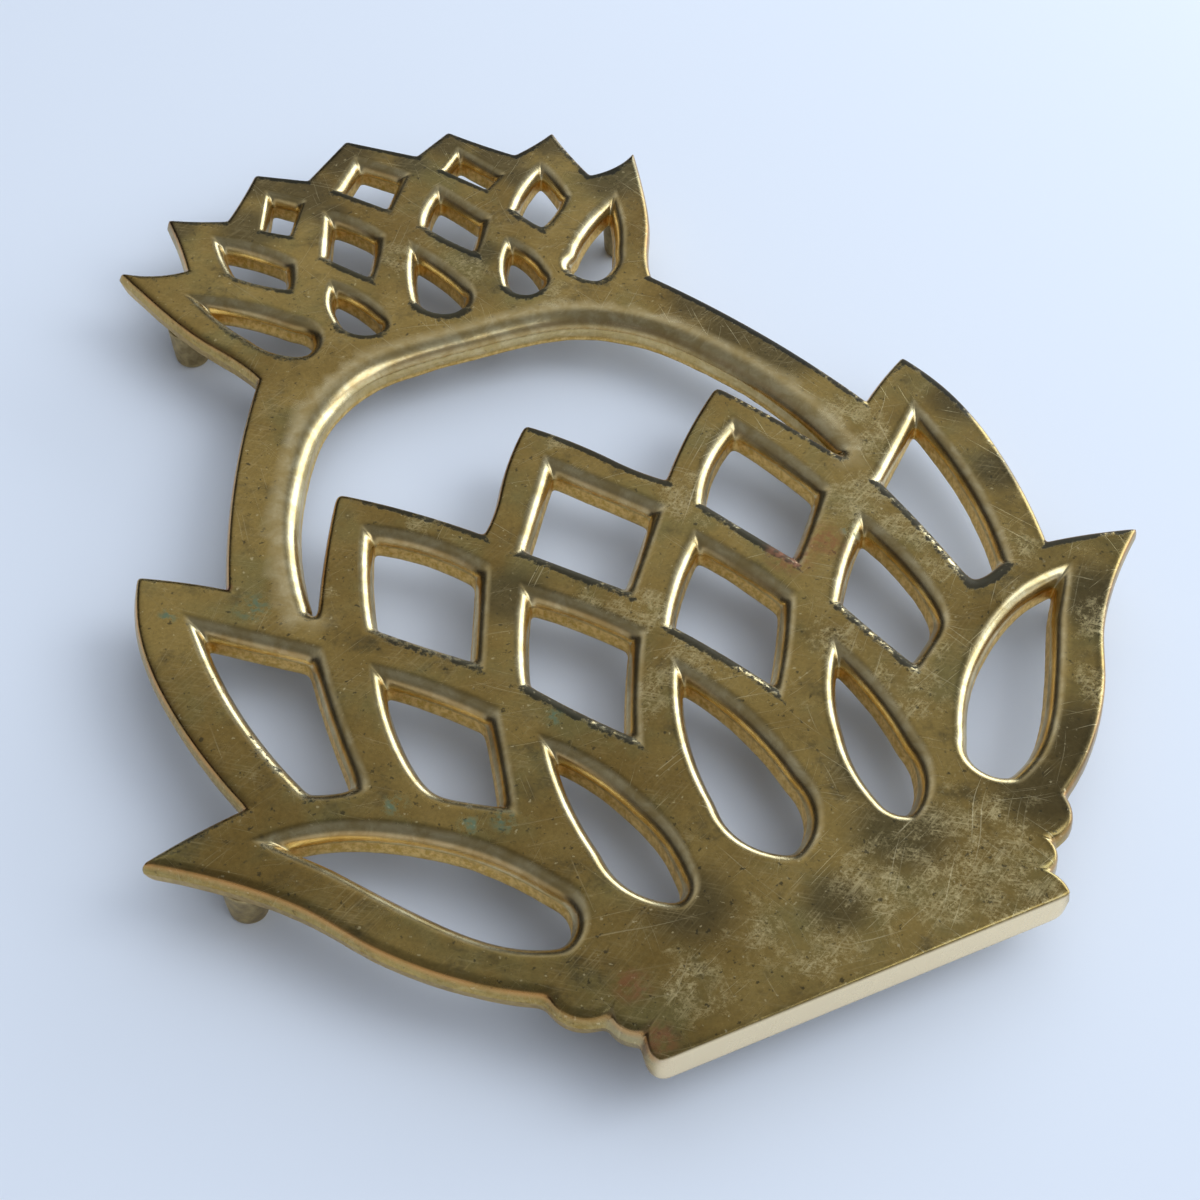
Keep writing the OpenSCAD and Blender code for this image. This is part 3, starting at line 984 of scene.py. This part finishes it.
def brass_foot():
    """Dull cast brass, rubbed brighter round the tip."""
    metal = Metal("aged_foot_brass")
    cast = metal.pattern("foot")
    colour = metal.mix(metal.shown(cast, "foot"), *FOOT_BRASS)
    colour = metal.cover(colour, WORN_BRASS, metal.attribute("worn"), "worn")
    roughness = metal.shown(cast, "foot roughness")
    height = metal.plus(cast, metal.times(metal.pattern("foot grain"), FOOT_GRAIN))
    shader = metal.add("ShaderNodeBsdfPrincipled", Base_Color=colour, Roughness=roughness)
    metal.put(shader.inputs["Normal"], metal.bumpy(height, FOOT_BUMP))
    shader.inputs["Metallic"].default_value = 1.0
    metal.finish("ShaderNodeOutputMaterial", shader)
    return metal.material


FLOOR_SIZE = 6.0
FLOOR_COLOUR = (0.84, 0.85, 0.86, 1)
FLOOR_ROUGHNESS = 0.85
# The floor lies this far below the feet, in millimetres, so that their tips show from below
FLOOR_GAP = 0.02


def pale_floor():
    """A plain pale floor that is clear from below, so that the underside of the object can be seen."""
    material = bpy.data.materials.new("pale_floor")
    material.use_nodes = True
    nodes = Nodes(material.node_tree)
    shader = nodes.add("ShaderNodeBsdfPrincipled", Base_Color=FLOOR_COLOUR, Roughness=FLOOR_ROUGHNESS)
    clear = nodes.add("ShaderNodeBsdfTransparent")
    behind = nodes.add("ShaderNodeNewGeometry").outputs["Backfacing"]
    seen = nodes.put_all(nodes.add("ShaderNodeMixShader"), behind, shader.outputs[0], clear.outputs[0])
    nodes.finish("ShaderNodeOutputMaterial", seen)
    return material


def build_floor():
    """A square of floor under the feet."""
    mesh = bpy.data.meshes.new("floor")
    half = FLOOR_SIZE / 2
    z = cad_box[0].z - FLOOR_GAP * MM
    corners = [(-half, -half, z), (half, -half, z), (half, half, z), (-half, half, z)]
    mesh.from_pydata(corners, [], [(0, 1, 2, 3)])
    mesh.materials.append(pale_floor())
    floor = bpy.data.objects.new("floor", mesh)
    bpy.context.scene.collection.objects.link(floor)


# The camera, worked out from points of the photo that mirror each other on the object
CAMERA_PLACE = Vector((-109.28, -202.08, 247.34))
CAMERA_AIM = Vector((-5.42, -24.86, 13.0))
CAMERA_ROLL = math.radians(6.21)
FOCAL_PIXELS = 1987.4
IMAGE_PIXELS = 1200
SENSOR = 36.0
NEAREST_SEEN = 0.01


def build_camera():
    """The camera, where the photographer stood."""
    data = bpy.data.cameras.new("camera")
    data.sensor_fit = "HORIZONTAL"
    data.sensor_width = SENSOR
    data.lens = SENSOR * FOCAL_PIXELS / IMAGE_PIXELS
    data.clip_start = NEAREST_SEEN
    camera = bpy.data.objects.new("camera", data)
    bpy.context.scene.collection.objects.link(camera)
    forward = (CAMERA_AIM - CAMERA_PLACE).normalized()
    level = forward.cross(Vector((0, 0, 1))).normalized()
    upright = level.cross(forward)
    right_of = level * math.cos(CAMERA_ROLL) + upright * math.sin(CAMERA_ROLL)
    up_of = upright * math.cos(CAMERA_ROLL) - level * math.sin(CAMERA_ROLL)
    turn = Matrix((right_of, up_of, -forward)).transposed().to_4x4()
    camera.matrix_world = Matrix.Translation(CAMERA_PLACE * MM) @ turn
    bpy.context.scene.camera = camera


# Lamps, as (name, place, size, power, colour), in metres and watts
LAMPS = (
    ("window", (0.69, 0.21, 0.18), (0.95, 0.32), 2.6, (0.86, 0.97, 1.12)),
    ("sky", (0.546, -0.254, 0.669), (0.5, 0.45), 1.5, (0.88, 0.97, 1.10)),
)


def build_lamp(name, place_of, size, power, colour):
    """A soft rectangular lamp that faces the object."""
    data = bpy.data.lights.new(name, "AREA")
    data.shape = "RECTANGLE"
    data.size, data.size_y = size
    data.energy = power
    data.color = colour
    lamp = bpy.data.objects.new(name, data)
    bpy.context.scene.collection.objects.link(lamp)
    lamp.location = place_of
    lamp.rotation_euler = (-Vector(place_of)).to_track_quat("-Z", "Y").to_euler()


# Directions in the room, as (axis, from, to), and what they give at each end if not 0 and 1
ROOM = {
    "high": ("Z", 0.34, 0.6),
    "far": ("Y", -0.5, 0.25),
    "not left": ("X", -0.65, 0.15),
    "right": ("X", 0.45, 0.6),
    "window": ("X", 0.5, 0.72),
    "ceiling": ("Z", 0.62, 0.85),
    "top": ("Z", 0.84, 0.95),
    "ahead": ("Y", -0.3, 0.1),
    "lit": ("X", -0.6, 0.3),
    "nearer": ("Y", -0.7, 0.3, 1.5, 1.0),
    "above": ("Z", 0.05, 0.6),
}
# What the metal sees there
NEAR_WALL = (0.50, 0.51, 0.52)
FAR_WALL = (0.02, 0.02, 0.025)
WINDOW_WALL = (0.85, 0.95, 1.08)
UPPER_WALL = (0.62, 0.63, 0.64)
CEILING = (0.42, 0.43, 0.44)
LEFT_WALL = (0.20, 0.205, 0.21)
RIGHT_WALL = (0.17, 0.175, 0.18)
CEILING_TOP = (0.16, 0.165, 0.17)
BEHIND = (0.14, 0.145, 0.15)
# The soft light that falls on everything, from low down and, at the left and the right, from above
LOW_LIGHT = (0.16, 0.18, 0.215)
HIGH_LIGHT = ((0.12, 0.135, 0.165), (0.90, 1.02, 1.22))
# What the camera sees past the floor
BACKDROP = (0.86, 0.92, 1.0)


def build_world():
    """A bright room, which the metal sees as dimmer, and dark towards the far horizon.

    It is plain and pale where the camera sees past the floor.
    """
    world = bpy.data.worlds.new("room")
    bpy.context.scene.world = world
    world.use_nodes = True
    nodes = Nodes(world.node_tree)
    direction = nodes.add("ShaderNodeTexCoord").outputs["Generated"]
    parts = nodes.add("ShaderNodeSeparateXYZ", Vector=direction)
    seen = {name: nodes.step(parts.outputs[axis], *span) for name, (axis, *span) in ROOM.items()}
    low = nodes.mix(seen["far"], NEAR_WALL, FAR_WALL)
    low = nodes.mix(seen["window"], low, WINDOW_WALL)
    upper = nodes.mix(seen["ceiling"], UPPER_WALL, CEILING)
    upper = nodes.mix(seen["not left"], LEFT_WALL, upper)
    upper = nodes.mix(seen["right"], upper, RIGHT_WALL)
    upper = nodes.mix(seen["top"], upper, CEILING_TOP)
    upper = nodes.mix(seen["ahead"], BEHIND, upper)
    room = nodes.mix(seen["high"], low, upper)
    overhead = nodes.mix(1.0, nodes.mix(seen["lit"], *HIGH_LIGHT), seen["nearer"], "MULTIPLY")
    ambient = nodes.mix(seen["above"], LOW_LIGHT, overhead)
    rays = nodes.add("ShaderNodeLightPath")
    colour = nodes.mix(rays.outputs["Is Glossy Ray"], ambient, room)
    colour = nodes.mix(rays.outputs["Is Camera Ray"], colour, BACKDROP)
    nodes.finish("ShaderNodeOutputWorld", nodes.add("ShaderNodeBackground", Color=colour))


build_camera()
build_floor()
build_world()
for lamp in LAMPS:
    build_lamp(*lamp)

plate = build_plate(brass_plate())
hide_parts("plate_casting")
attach(plate, "root")

foot_metal = brass_foot()
for seed, node in enumerate(FEET):
    foot = build_foot(node, foot_metal, FIRST_FOOT_SEED + seed)
    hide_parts(node)
    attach(foot, "root")

bpy.context.scene.view_settings.view_transform = "Standard"
